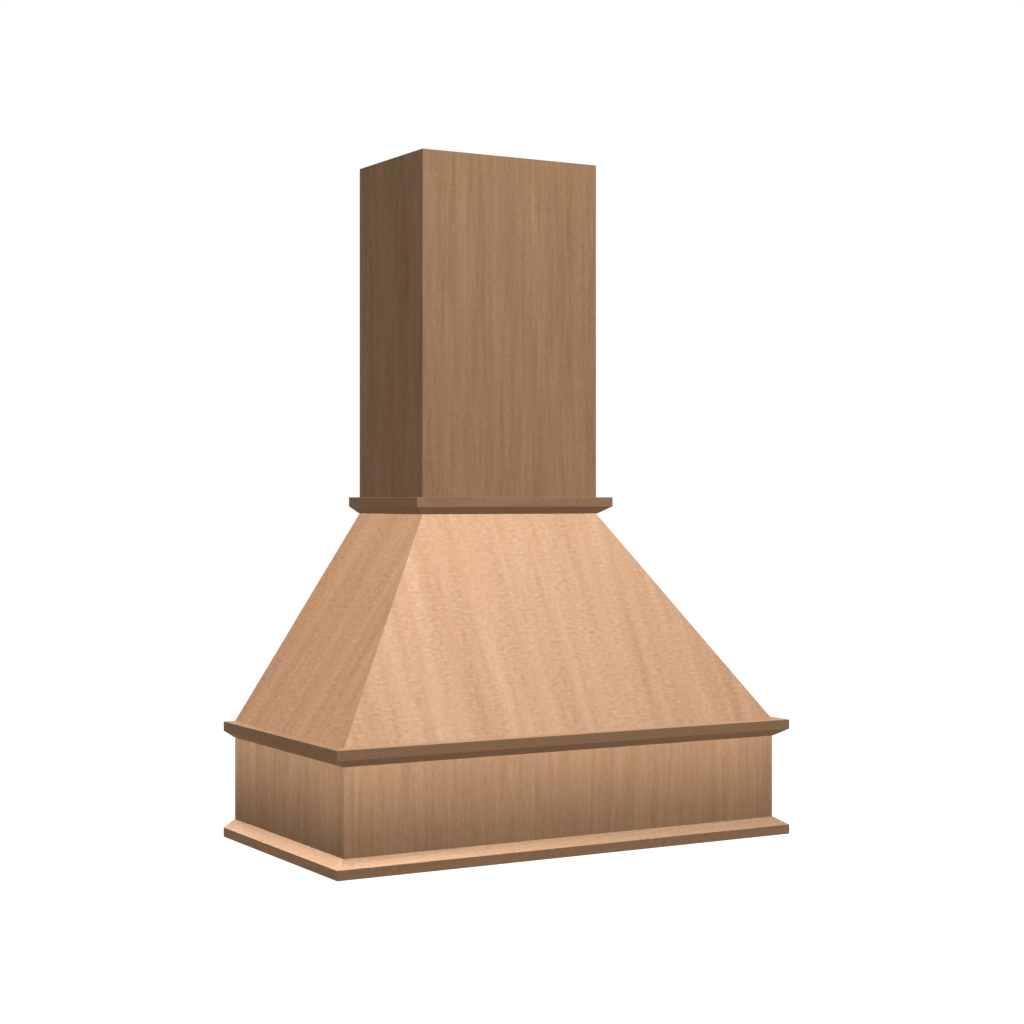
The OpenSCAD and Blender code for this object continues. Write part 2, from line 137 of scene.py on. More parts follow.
def add_node(
    tree: Tree, kind: str, inputs: Optional[Mapping[Union[str, int], Value]] = None, **settings: object
) -> bpy.types.Node:
    """Adds a shader node with its settings, and sets or links its inputs.

    Args:
        tree: The node tree that takes the node.
        kind: The node's type, without its common first word.
        inputs: A value or another node's socket for each input that isn't left as it comes.
        settings: The node's own settings.

    Returns:
        The new node.
    """
    node = tree.nodes.new("ShaderNode" + kind)
    for name, value in settings.items():
        setattr(node, name, value)
    for name, value in (inputs or {}).items():
        if isinstance(value, Socket):
            tree.links.new(value, node.inputs[name])
        else:
            node.inputs[name].default_value = value
    return node


def new_material(name: str) -> tuple[bpy.types.Material, Tree]:
    """Makes a material with an empty node tree.

    Args:
        name: The material's name.

    Returns:
        The material and its tree.
    """
    material = bpy.data.materials.new(name)
    material.use_nodes = True
    material.node_tree.nodes.clear()
    return material, material.node_tree


def seed_of(name: str) -> float:
    """Works out a number for a piece from its name, so that boards don't share their grain."""
    return sum((i + 3) * ord(letter) for i, letter in enumerate(name)) % SEED_COUNT


# How boards lie, and the patterns in them


@dataclass(frozen=True)
class Lay:
    """How a board lies: a point of its face, the way out of the face, and the way of its grain."""

    face: Vector
    out: Vector
    grain: Vector

    @classmethod
    def of_panel(cls, node: Thing) -> "Lay":
        """Finds the lay of an outer panel, whose biggest face looks out and whose grain runs up it.

        Args:
            node: The panel.

        Returns:
            Its lay.
        """
        face = max(node.data.polygons, key=lambda polygon: polygon.area)
        out = face.normal.copy()
        return cls(face.center.copy(), out, (UP - out * UP.dot(out)).normalized())

    @classmethod
    def of_board(cls, node: Thing) -> "Lay":
        """Finds the lay of a square board: its thinnest way is through the plies, its longest the grain.

        Args:
            node: The board.

        Returns:
            Its lay.
        """
        low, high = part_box(node.name)
        size = high - low
        ways = sorted(range(3), key=lambda axis: size[axis])
        out, grain = (Vector([float(axis == way) for axis in range(3)]) for way in (ways[0], ways[2]))
        return cls(high, out, grain)

    @classmethod
    def of_stick(cls, node: Thing) -> "Lay":
        """Finds the lay of a stick, whose grain runs along its longest edge.

        Args:
            node: The stick, or a row of like sticks.

        Returns:
            Its lay.
        """
        points = [vertex.co for vertex in node.data.vertices]
        ends = max(node.data.edges, key=lambda e: (points[e.vertices[0]] - points[e.vertices[1]]).length)
        grain = (points[ends.vertices[0]] - points[ends.vertices[1]]).normalized()
        return cls(points[ends.vertices[0]].copy(), grain.orthogonal().normalized(), grain)

    def place(self, tree: Tree) -> Socket:
        """Adds the nodes that give millimetres across the grain, along it, and out of the face.

        Args:
            tree: The material's tree.

        Returns:
            The vector's socket.
        """
        turn = Matrix((self.grain.cross(self.out), self.grain, self.out))
        mapping = add_node(tree, "Mapping", {
            "Vector": add_node(tree, "TexCoord").outputs["Object"],
            "Location": -(turn @ self.face) / MM,
            "Rotation": turn.to_euler("XYZ"),
            "Scale": (1 / MM,) * 3,
        })
        return mapping.outputs[0]


@dataclass(frozen=True)
class Streaks:
    """One layer of streaks: their width across the grain and length along it in millimetres."""

    width: float
    length: float
    strength: float


@dataclass(frozen=True)
class Ripple:
    """Cross figure: short wavelets that lie over the grain in wavy rows, sizes in millimetres."""

    width: float
    period: float
    strength: float
    sway: float
    sway_width: float
    patch: tuple[float, float]
    sway_rows: float = 9.0  # how many wavelets long one sway is
    swing: tuple[float, float] = (0.6, 1.4)  # shares of the strength in a weak and in a strong patch
    detail: float = 0.4  # how much finer noise the wavelets carry
    patch_detail: float = 0.5


@dataclass(frozen=True)
class Stock:
    """The stock that a piece is cut from, with the patterns that its material is made of."""

    tree: Tree
    lay: Lay
    place: Socket  # millimetres across the grain, along it, and out of the face
    seed: float  # where in the noise the piece is cut from

    def streaks(self, layers: Sequence[Streaks], leaf: float = 0.0, middle: float = 0.5) -> Socket:
        """Adds layers of streaks up to one tone.

        Args:
            layers: The layers.
            leaf: How far on in the noise they are cut.
            middle: The tone's average.

        Returns:
            The tone's socket.
        """
        seed = self.seed + leaf
        tone: Value = middle - sum(layer.strength for layer in layers) / 2
        for number, layer in enumerate(layers):
            spread = add_node(self.tree, "Mapping", {
                "Vector": self.place,
                "Location": (seed + LAYER_STEP * number, seed / STREAK_SHARE, LAYER_SINK * number),
                "Scale": (1 / layer.width, 1 / layer.length, 1 / layer.width),
            })
            noise = add_node(self.tree, "TexNoise", {
                "Vector": spread.outputs[0], "Scale": 1.0, "Detail": 1.0,
            })
            tone = add_node(self.tree, "Math", {
                0: noise.outputs[0], 1: layer.strength, 2: tone,
            }, operation="MULTIPLY_ADD").outputs[0]
        return tone

    def swayed(self, sway: Sequence[float], run: Sequence[float], detail: float = 1.0) -> "Stock":
        """Lets the grain sway.

        Args:
            sway: How far it sways across the grain, along it and out, in millimetres.
            run: How far one sway reaches each way, in millimetres.
            detail: How much of finer sways it carries.

        Returns:
            The stock with its places moved.
        """
        tree, place = self.tree, self.place
        spread = add_node(tree, "Mapping", {"Vector": place, "Scale": [1 / reach for reach in run]})
        noise = add_node(tree, "TexNoise", {"Vector": spread.outputs[0], "Scale": 1.0, "Detail": detail})
        moved = add_node(
            tree, "VectorMath", {0: noise.outputs[1], 1: sway, 2: place}, operation="MULTIPLY_ADD"
        )
        return replace(self, place=moved.outputs[0])

    def rippled(self, tone: Socket, ripple: Ripple) -> Socket:
        """Lays cross figure over a tone, strong in some patches and hardly there in others.

        Args:
            tone: The tone that it lies over.
            ripple: The figure.

        Returns:
            The new tone's socket.
        """
        seed = self.seed
        run = (ripple.sway_width, ripple.sway_rows * ripple.period, ripple.sway_width)
        wavy = self.swayed((0, ripple.sway, 0), run, detail=0.0)
        # The wavelets, and the patches in which they are weak or strong
        tones = []
        for place, (wide, tall), start, detail in (
            (wavy.place, (ripple.width, ripple.period), (seed, seed / WAVE_SHARE, 0), ripple.detail),
            (self.place, ripple.patch, (seed / PATCH_SHARE, seed, PATCH_SINK), ripple.patch_detail),
        ):
            spread = add_node(self.tree, "Mapping", {
                "Vector": place, "Location": start, "Scale": (1 / wide, 1 / tall, 1 / wide),
            })
            tones.append(add_node(self.tree, "TexNoise", {
                "Vector": spread.outputs[0], "Scale": 1.0, "Detail": detail,
            }).outputs[0])
        centred = add_node(self.tree, "Math", {0: tones[0], 1: 0.5}, operation="SUBTRACT").outputs[0]
        weak, strong = ripple.swing
        strength = add_node(self.tree, "MapRange", {
            **PATCH_LIMITS, "Value": tones[1],
            "To Min": weak * ripple.strength, "To Max": strong * ripple.strength,
        }).outputs[0]
        return add_node(
            self.tree, "Math", {0: centred, 1: strength, 2: tone}, operation="MULTIPLY_ADD"
        ).outputs[0]

    def pores(self, width: float, length: float) -> Socket:
        """Scatters pores as short dashes along the grain.

        Args:
            width: Room that one pore has across, drawn wider than the real one's twentieth of a millimetre.
            length: Room that one pore has along the grain.

        Returns:
            A socket that is 1 in a pore and 0 between pores.
        """
        spread = add_node(self.tree, "Mapping", {
            "Vector": self.place, "Scale": (1 / width, 1 / length, 1 / width),
        })
        cells = add_node(
            self.tree, "TexVoronoi", {"Vector": spread.outputs[0], "Scale": 1.0}, voronoi_dimensions="2D"
        )
        dots = add_node(self.tree, "MapRange", {**PORE_LIMITS, "Value": cells.outputs["Distance"]})
        return dots.outputs[0]


# Finishes


@dataclass(frozen=True, kw_only=True)
class Finish:
    """A material of the cover, made anew for each board so that its grain follows that board."""

    name: str
    roughness: float = 0.62
    swing: float = 0.08  # how far the roughness goes up and down with the tone
    relief: tuple[float, float] = (0.25, 0.05)  # its strength, and its depth in millimetres

    def build(self, stock: Stock) -> None:
        """Adds the finish's nodes to the stock's empty tree."""
        raise NotImplementedError

    def add_surface(self, tree: Tree, tone: Socket, height: Socket, look: Mapping[str, Value]) -> None:
        """Adds the shader and the material's output.

        Args:
            tree: The material's tree.
            tone: What the roughness follows.
            height: What the relief follows.
            look: The shader's other inputs.
        """
        strength, depth = self.relief
        bump = add_node(tree, "Bump", {"Strength": strength, "Distance": depth * MM, "Height": height})
        matt = add_node(tree, "MapRange", {
            "Value": tone, "To Min": self.roughness - self.swing, "To Max": self.roughness + self.swing,
        })
        surface = add_node(tree, "BsdfPrincipled", {
            "Roughness": matt.outputs[0], "Normal": bump.outputs[0], **look,
        })
        add_node(tree, "OutputMaterial", {0: surface.outputs[0]})

    def dress(self, node: Thing, lay: Lay, leaf: float = 0.0) -> None:
        """Puts the finish on a node or a piece.

        Args:
            node: The node or piece.
            lay: How it lies.
            leaf: How far on in the log the board is cut.
        """
        material, tree = new_material(f"{self.name}.{node.name}")
        self.build(Stock(tree, lay, lay.place(tree), seed_of(node.name) + leaf))
        if node.material_slots:
            node.material_slots[0].material = material
        else:
            node.data.materials.append(material)


@dataclass(frozen=True, kw_only=True)
class Plywood(Finish):
    """Plywood with a sliced or peeled face: face grain outside, and the plies wherever it is cut."""

    light: str
    dark: str
    blush: str  # a redder tone that lies over both in bands
    layers: tuple[Streaks, ...]
    bands: tuple[Streaks, ...] = (Streaks(34.0, 300.0, 1.6),)
    ripple: Optional[Ripple] = None
    sway: float = 2.0
    sway_run: float = 320.0
    pore_colour: str = "#8a5f40"
    pore_strength: float = 0.15
    pore_depth: float = 0.8
    pore_room: tuple[float, float] = (1.8, 14.0)
    thickness: float = 18.0
    face_t: float = 0.6
    ply_count: int = 7
    long_ply: str = "#dcbd92"
    cross_ply: str = "#b98f66"
    saw_tint: str = "#c9a883"
    saw_marks: tuple[Streaks, ...] = (Streaks(2.2, 3.0, 0.9), Streaks(14.0, 30.0, 0.7))
    fibres: tuple[Streaks, ...] = (Streaks(0.6, 26.0, 1.0),)  # coarser than real ones, to show close by
    variation: float = 0.0  # how far the boards' own tones lie apart
    backing: Optional[tuple[str, str]] = None  # dark and light of an inner face of another wood

    def face_colour(self, stock: Stock, depth: Socket, pore: Socket) -> Socket:
        """Colours the face veneer.

        Args:
            stock: The board's stock.
            depth: Millimetres out of the face, so below 0 inside the board.
            pore: Where the pores are.

        Returns:
            The colour's socket.
        """
        tree = stock.tree
        own_tone = 0.5 + self.variation * (math.fmod(stock.seed * TONE_STEP, 1.0) - 0.5)
        wandering = stock.swayed((self.sway, 0, 0), (self.sway_run,) * 3)
        tone = wandering.streaks(self.layers, middle=own_tone)
        if self.ripple:
            tone = stock.rippled(tone, self.ripple)
        bands = stock.streaks(self.bands, BAND_LEAF)
        soft = add_node(tree, "MapRange", {**BLUSH_LIMITS, "Value": bands}).outputs[0]
        coats = [(tone, linear(self.light)), (soft, linear(self.blush))]
        if self.backing:
            dark, light = map(linear, self.backing)
            inner_wood = add_node(tree, "Mix", {FACTOR: tone, FIRST: dark, SECOND: light}, data_type="RGBA")
            inside = add_node(tree, "Math", {0: depth, 1: -self.thickness / 2}, operation="LESS_THAN")
            coats.append((inside.outputs[0], inner_wood.outputs[MIXED]))
        dots = add_node(tree, "Math", {0: pore, 1: self.pore_strength}, operation="MULTIPLY").outputs[0]
        coats.append((dots, linear(self.pore_colour)))
        colour: Value = linear(self.dark)
        for share, coat in coats:
            colour = add_node(
                tree, "Mix", {FACTOR: share, FIRST: colour, SECOND: coat}, data_type="RGBA"
            ).outputs[MIXED]
        return colour

    def ply_colour(self, stock: Stock, depth: Socket) -> Socket:
        """Colours the cut plies: every second one shows its end grain, darker and rougher.

        Args:
            stock: The board's stock.
            depth: Millimetres out of the face, so below 0 inside the board.

        Returns:
            The colour's socket.
        """
        tree = stock.tree
        ply_t = (self.thickness - 2 * self.face_t) / self.ply_count
        level = add_node(
            tree, "Math", {0: depth, 1: 1 / ply_t, 2: self.face_t / ply_t + 0.5}, operation="MULTIPLY_ADD"
        ).outputs[0]
        turn = add_node(tree, "Math", {0: level, 1: 1.0}, operation="PINGPONG").outputs[0]
        flat = add_node(tree, "Mix", {
            FACTOR: add_node(tree, "MapRange", {**GLUE_LIMITS, "Value": turn}).outputs[0],
            FIRST: linear(self.long_ply),
            SECOND: linear(self.cross_ply),
        }, data_type="RGBA")
        tint = add_node(tree, "Mix", {
            FACTOR: stock.streaks(self.saw_marks, SAW_LEAF),
            FIRST: linear(self.saw_tint),
            SECOND: linear(WHITE),
        }, data_type="RGBA")
        return add_node(tree, "Mix", {
            FACTOR: 1.0, FIRST: flat.outputs[MIXED], SECOND: tint.outputs[MIXED],
        }, data_type="RGBA", blend_type="MULTIPLY").outputs[MIXED]

    def build(self, stock: Stock) -> None:
        """Adds the plywood's nodes to the stock's empty tree.

        Args:
            stock: The board's stock.
        """
        tree = stock.tree
        depth = add_node(tree, "SeparateXYZ", {0: stock.place}).outputs[2]
        near = add_node(tree, "Math", {0: depth, 1: -self.face_t}, operation="GREATER_THAN").outputs[0]
        far = add_node(
            tree, "Math", {0: depth, 1: self.face_t - self.thickness}, operation="LESS_THAN"
        ).outputs[0]
        pore = stock.pores(*self.pore_room)
        colour = add_node(tree, "Mix", {
            FACTOR: add_node(tree, "Math", {0: near, 1: far}, operation="MAXIMUM").outputs[0],
            FIRST: self.ply_colour(stock, depth),
            SECOND: self.face_colour(stock, depth, pore),
        }, data_type="RGBA").outputs[MIXED]
        fibres = stock.streaks(self.fibres, FIBRE_LEAF)
        height = add_node(
            tree, "Math", {0: pore, 1: -self.pore_depth, 2: fibres}, operation="MULTIPLY_ADD"
        ).outputs[0]
        self.add_surface(tree, fibres, height, {"Base Color": colour, **WOOD_SHINE})


@dataclass(frozen=True, kw_only=True)
class SolidWood(Finish):
    """Solid wood, sawn and planed: growth rings round a heart outside the board, cut by every face."""

    early: str
    late: str
    ring: float
    ring_strength: float
    late_power: float = 2.5  # how narrow the late wood is in a ring
    heart: tuple[float, float]
    heart_steps: float = 9.0  # steps of the seed for each millimetre that the heart lies further off
    sway: float = 6.0
    sway_run: float = 180.0
    taper: float = 0.004  # how fast the rings close in along the grain
    fibres: tuple[Streaks, ...] = (
        Streaks(2.6, 22.0, 0.7), Streaks(6.0, 130.0, 0.6), Streaks(16.0, 500.0, 0.7)
    )
    fibre_strength: float
    mottle: Optional[Ripple] = None
    # Painted sheen: a whitish colour laid over faces that point up, standing in for light from above
    painted_sheen_colour: str = WHITE
    painted_sheen_share: float = 0.0
    end_colour: str

    def build(self, stock: Stock) -> None:
        """Adds the solid wood's nodes to the stock's empty tree.

        Args:
            stock: The stick's stock.
        """
        tree = stock.tree
        across, out = self.heart
        bent = add_node(tree, "VectorMath", {
            0: stock.swayed((self.sway, 0, 0), (self.sway_run,) * 3).place,
            1: (1, self.taper, 1),
            2: (across + stock.seed / self.heart_steps, 0, out),
        }, operation="MULTIPLY_ADD").outputs[0]
        radius = add_node(tree, "VectorMath", {0: bent}, operation="LENGTH").outputs[1]
        count = add_node(tree, "Math", {0: radius, 1: 1 / self.ring}, operation="MULTIPLY").outputs[0]
        part = add_node(tree, "Math", {0: count}, operation="FRACT").outputs[0]
        late = add_node(tree, "Math", {0: part, 1: self.late_power}, operation="POWER").outputs[0]
        rings = add_node(tree, "Math", {0: late, 1: self.ring_strength}, operation="MULTIPLY").outputs[0]
        fibres = stock.streaks(self.fibres)
        tone = add_node(
            tree, "Math", {0: fibres, 1: self.fibre_strength, 2: rings}, operation="MULTIPLY_ADD"
        ).outputs[0]
        if self.mottle:
            tone = stock.rippled(tone, self.mottle)
        coats = [(tone, linear(self.late))]
        normal = add_node(tree, "TexCoord").outputs["Normal"]
        # Painted sheen: faces that point up are paled, standing in for light from above
        if self.painted_sheen_share:
            rise = add_node(tree, "VectorMath", {0: normal, 1: UP}, operation="DOT_PRODUCT").outputs[1]
            pale = add_node(tree, "MapRange", {**PAINTED_SHEEN_LIMITS, "Value": rise, "To Max": self.painted_sheen_share})
            coats.append((pale.outputs[0], linear(self.painted_sheen_colour)))
        facing = add_node(
            tree, "VectorMath", {0: normal, 1: stock.lay.grain}, operation="DOT_PRODUCT"
        ).outputs[1]
        size = add_node(tree, "Math", {0: facing}, operation="ABSOLUTE").outputs[0]
        ends = add_node(tree, "MapRange", {**END_LIMITS, "Value": size}).outputs[0]
        coats.append((ends, linear(self.end_colour)))
        colour: Value = linear(self.early)
        for share, coat in coats:
            colour = add_node(
                tree, "Mix", {FACTOR: share, FIRST: colour, SECOND: coat}, data_type="RGBA"
            ).outputs[MIXED]
        self.add_surface(tree, fibres, fibres, {"Base Color": colour, **WOOD_SHINE})


@dataclass(frozen=True, kw_only=True)
class PlatedSteel(Finish):
    """Steel with a bright zinc plate, which gives a soft grey metal shine with faint yellow clouds."""

    bright: str
    cloud: str
    clouds: tuple[Streaks, ...] = (Streaks(3.0, 3.0, 1.0), Streaks(0.8, 0.8, 0.5))
    roughness: float = 0.32
    swing: float = 0.1
    relief: tuple[float, float] = (0.15, 0.02)

    def build(self, stock: Stock) -> None:
        """Adds the plated steel's nodes to the stock's empty tree.

        Args:
            stock: The screw's stock.
        """
        tone = stock.streaks(self.clouds)
        colour = add_node(stock.tree, "Mix", {
            FACTOR: tone, FIRST: linear(self.bright), SECOND: linear(self.cloud),
        }, data_type="RGBA").outputs[MIXED]
        self.add_surface(stock.tree, tone, tone, {"Base Color": colour, **METAL_SHINE})


# Peeled veneer on the inner face of the outer panels, its dark and its light
BACKING = ("#c4a578", "#e4c99f")

# Sliced cherry veneer, quarter cut and sanded: fine straight streaks and faint upright bands. The finest
# streaks are drawn 4 mm wide, because real ones of less than a millimetre wouldn't show in the render
STRAIGHT_VENEER = Plywood(
    name="cherry_veneer_sliced_straight",
    light="#e0b38c",
    dark="#b98c65",
    blush="#d09d7f",
    layers=(
        Streaks(26.0, 460.0, 0.75),
        Streaks(8.0, 150.0, 0.78),
        Streaks(4.6, 60.0, 0.25),
        Streaks(4.4, 16.0, 0.48),
    ),
    bands=(Streaks(34.0, 300.0, 1.8), Streaks(9.0, 110.0, 1.6)),
    backing=BACKING,
)

# The same veneer cut nearer to the bark, for the sides, where the streaks lie wider apart
STRAIGHT_SIDE_VENEER = replace(
    STRAIGHT_VENEER,
    name="cherry_veneer_sliced_broad",
    layers=(
        Streaks(70.0, 600.0, 0.80),
        Streaks(26.0, 320.0, 0.85),
        Streaks(13.0, 160.0, 0.75),
        Streaks(8.0, 16.0, 0.60),
    ),
)

# Sliced cherry veneer with ripple figure, sanded: broad soft bands crossed by fine wavelets
RIPPLED_VENEER = Plywood(
    name="cherry_veneer_sliced_rippled",
    light="#efc4a1",
    dark="#cd9c77",
    blush="#e6b18d",
    layers=(
        Streaks(46.0, 800.0, 0.95),
        Streaks(15.0, 320.0, 0.55),
        Streaks(4.5, 30.0, 0.38),
    ),
    ripple=Ripple(width=12.5, period=5.2, strength=0.78, sway=4.0, sway_width=17.0, patch=(22.0, 150.0)),
    sway=12.0,
    pore_strength=0.05,
    backing=BACKING,
)

# The same veneer for the canopy's sides, with a figure of its own. Its colours are a little darker and
# redder, a painted shade for the sides, which get less light than the front
RIPPLED_SIDE_VENEER = replace(
    RIPPLED_VENEER,
    name="cherry_veneer_sliced_deep",
    light="#efbe97",
    dark="#cd976e",
    blush="#e6ab83",
    layers=(
        Streaks(46.0, 800.0, 0.90),
        Streaks(15.0, 320.0, 0.42),
        Streaks(14.0, 14.0, 0.40),
    ),
    ripple=replace(RIPPLED_VENEER.ripple, width=15.0, period=5.6, strength=0.74),
)

# Solid cherry, planed and sanded: close rings that show as faint lines along the moulding
MOULDING_CHERRY = SolidWood(
    name="cherry_solid_planed",
    early="#d9ac87",
    late="#bb8c68",
    ring=3.2,
    ring_strength=0.3,
    heart=(-90.0, -70.0),
    fibre_strength=0.55,
    end_colour="#9a6f4c",
    mottle=Ripple(width=4.5, period=6.5, strength=0.45, sway=5.0, sway_width=18.0, patch=(30.0, 90.0)),
)

# The same cherry with a sanded bevel and stronger mottle. Faces that point up are paled towards a
# whitish colour: a painted sheen, as light from above gives them
BEVELLED_CHERRY = replace(
    MOULDING_CHERRY,
    name="cherry_solid_bevelled",
    mottle=replace(MOULDING_CHERRY.mottle, strength=1.0),
    painted_sheen_colour="#e2c4aa",
    painted_sheen_share=0.14,
)

# Birch plywood, rotary cut and sawn: a pale broad face and plies at every cut edge
BIRCH_PLYWOOD = Plywood(
    name="birch_plywood_sawn",
    light="#ead2aa",
    dark="#cdae80",
    blush="#dfc095",
    layers=(
        Streaks(30.0, 260.0, 0.7),
        Streaks(7.0, 110.0, 0.5),
        Streaks(1.5, 40.0, 0.4),
    ),
    sway=30.0,
    pore_colour="#a98458",
    pore_strength=0.2,
    variation=0.45,
)

# Birch plywood, thinner and sanded, for the panel under the hood: a little paler
LINER_PLYWOOD = replace(
    BIRCH_PLYWOOD,
    name="birch_plywood_sanded",
    light="#ebd4ad",
    dark="#cfb184",
    blush="#e0c298",
    sway=34.0,
    variation=0.0,
    thickness=12.0,
    ply_count=5,
)

# Sawn pine: wide rings with hard orange latewood
PINE = SolidWood(
    name="pine_sawn",
    early="#e6c694",
    late="#b8803f",
    ring=4.4,
    ring_strength=0.75,
    heart=(-34.0, -46.0),
    fibre_strength=0.25,
    end_colour="#b98a55",
    roughness=0.7,
)

# Steel, zinc plated: a soft grey shine with faint yellow clouds
ZINC_STEEL = PlatedSteel(name="zinc_plated_steel", bright="#c6c5c0", cloud="#aca78f")


# The cover's sub-assemblies


@dataclass
class PanelBox:
    """Three panels with mitred corners, and how far on in the log their veneers are cut."""

    name: str
    front_veneer: Plywood
    side_veneer: Plywood
    front_leaf: float
    side_leaf: float

    def dress(self) -> list[str]:
        """Dresses the panels, each with its grain running up it.

        Returns:
            The panels' names.
        """
        names = []
        for side in ("front", "left", "right"):
            name = f"{self.name}_{side}_panel"
            veneer, leaf = self.side_veneer, self.side_leaf
            if side == "front":
                veneer, leaf = self.front_veneer, self.front_leaf
            veneer.dress(NODES[name], Lay.of_panel(NODES[name]), leaf)
            names.append(name)
        return names


@dataclass
class MouldingRing:
    """A bevelled moulding round three sides of the cover, mitred at the front corners."""

    name: str
    wood: SolidWood

    def dress(self) -> list[str]:
        """Dresses the three lengths, each with its grain along it.

        Returns:
            The lengths' names.
        """
        names = [f"{self.name}_moulding_{side}" for side in ("front", "left", "right")]
        for name in names:
            self.wood.dress(NODES[name], Lay.of_stick(NODES[name]))
        return names


@dataclass
class Frame:
    """The rails, cleats, splines, blocks and battens inside the cover."""

    board: Plywood
    liner: Plywood
    stick: SolidWood
    board_words: tuple[str, ...] = ("rail", "cleat")
    spline_word: str = "splines"
    stick_words: tuple[str, ...] = ("blocks", "batten")

    def dress(self) -> list[str]:
        """Dresses each inner piece by what its name says it is.

        Returns:
            The pieces' names.
        """
        done = []
        for name, node in NODES.items():
            if name == "liner_panel":
                self.liner.dress(node, Lay.of_board(node))
            elif any(word in name for word in self.stick_words):
                self.stick.dress(node, Lay.of_stick(node))
            elif self.spline_word in name:
                self.board.dress(node, Lay.of_stick(node))
            elif any(word in name for word in self.board_words):
                self.board.dress(node, Lay.of_board(node))
            else:
                continue
            done.append(name)
        return done


# Screws


class Head(Enum):
    """The shape of a screw's head."""

    PAN = "pan"
    FLAT = "flat"


class Drive(Enum):
    """The recess in a screw's head."""

    CROSS = "cross"
    SQUARE = "square"


@dataclass(frozen=True)
class Recess:
    """A drive recess: the slots it is made of, in shares of the head's radius and height."""

    length: float
    width: float
    turns: tuple[float, ...]
    depth: float = 0.75
    taper: float = 0.6


RECESSES = {
    Drive.CROSS: Recess(length=1.15, width=0.24, turns=(0.0, math.pi / 2)),
    Drive.SQUARE: Recess(length=0.68, width=0.68, turns=(0.0,)),
}


@dataclass(frozen=True)
class ScrewSize:
    """A screw's sizes in metres, read from the solid that it replaces."""

    head_radius: float
    head_height: float
    shank_radius: float
    length: float


def set_active(piece: Thing) -> None:
    """Makes one object the only selected and the active one.

    Args:
        piece: The object.
    """
    bpy.ops.object.select_all(action="DESELECT")
    piece.select_set(True)
    bpy.context.view_layer.objects.active = piece


def shape(
    piece: Thing,
    chosen: Callable[[bpy.types.MeshPolygon], bool],
    step: Callable[[], object],
) -> None:
    """Runs one edit-mode step on chosen faces.

    Args:
        piece: The mesh object.
        chosen: Says which faces are selected, by their place or normal.
        step: The operator's call.
    """
    set_active(piece)
    bpy.context.tool_settings.mesh_select_mode = (False, False, True)
    for part in (*piece.data.vertices, *piece.data.edges):
        part.select = False
    for face in piece.data.polygons:
        face.select = chosen(face)
    bpy.ops.object.mode_set(mode="EDIT")
    step()
    bpy.ops.object.mode_set(mode="OBJECT")


def apply_modifier(piece: Thing, kind: str, **settings: object) -> None:
    """Adds a modifier to a piece and applies it.

    Args:
        piece: The mesh object.
        kind: The modifier's type.
        settings: Its settings.
    """
    set_active(piece)
    modifier = piece.modifiers.new(kind.lower(), kind)
    for name, value in settings.items():
        setattr(modifier, name, value)
    bpy.ops.object.modifier_apply(modifier=modifier.name)


def join(pieces: Sequence[Thing], name: str) -> Thing:
    """Joins objects to one.

    Args:
        pieces: The objects. The first one stays.
        name: The joined object's name.

    Returns:
        The joined object.
    """
    set_active(pieces[0])
    for piece in pieces:
        piece.select_set(True)
    bpy.ops.object.join()
    pieces[0].name = name
    return pieces[0]


def place_in_mesh(piece: Thing, place: Matrix) -> None:
    """Moves a mesh to its place and leaves the object at the origin."""
    piece.data.transform(place)
    piece.matrix_world = Matrix.Identity(4)


def loose_solids(node: Thing) -> list[np.ndarray]:
    """Parts a node's mesh into its separate solids.

    Args:
        node: The node.

    Returns:
        Each solid's points, one row a point.
    """
    keys: dict[tuple[int, ...], int] = {}
    ids = [keys.setdefault(tuple(round(c / MICRON) for c in v.co), len(keys)) for v in node.data.vertices]
    parent = list(range(len(keys)))

    def root(i: int) -> int:
        """Follows a point's parents to the first one.

        Args:
            i: The point.

        Returns:
            The first one.
        """
        while parent[i] != i:
            parent[i] = parent[parent[i]]
            i = parent[i]
        return i

    for face in node.data.polygons:
        first, *rest = (root(ids[v]) for v in face.vertices)
        for other in rest:
            parent[root(other)] = first
    groups: dict[int, list[tuple[float, ...]]] = {}
    for point, i in keys.items():
        groups.setdefault(root(i), []).append(tuple(c * MICRON for c in point))
    return [np.array(points) for points in groups.values()]


def measure_screw(points: np.ndarray) -> tuple[Matrix, ScrewSize]:
    """Finds a screw's place and sizes from its solid.

    Args:
        points: The solid's points.

    Returns:
        The place of the top of its head, with local -Z towards the point, and its sizes.
    """
    centre = points.mean(axis=0)
    axis = np.linalg.svd(points - centre)[2][0]
    along = (points - centre) @ axis
    off_axis = np.linalg.norm(points - centre - np.outer(along, axis), axis=1)
    if off_axis[along > along.max() - TOUCH].max() > off_axis[along < along.min() + TOUCH].max():
        axis, along = -axis, -along
    start = along.min()
    levels = np.unique(np.round(along - start, decimals=6))
    neck = levels[levels > TOUCH][0]
    at_neck = np.abs(along - start - neck) < TOUCH
    top = centre + axis * start
    turn = (-Vector(axis)).to_track_quat("Z", "Y")
    size = ScrewSize(
        head_radius=float(off_axis.max()),
        head_height=float(neck),
        shank_radius=float(off_axis[at_neck].min()),
        length=float(along.max() - start),
    )
    return Matrix.Translation(Vector(top)) @ turn.to_matrix().to_4x4(), size


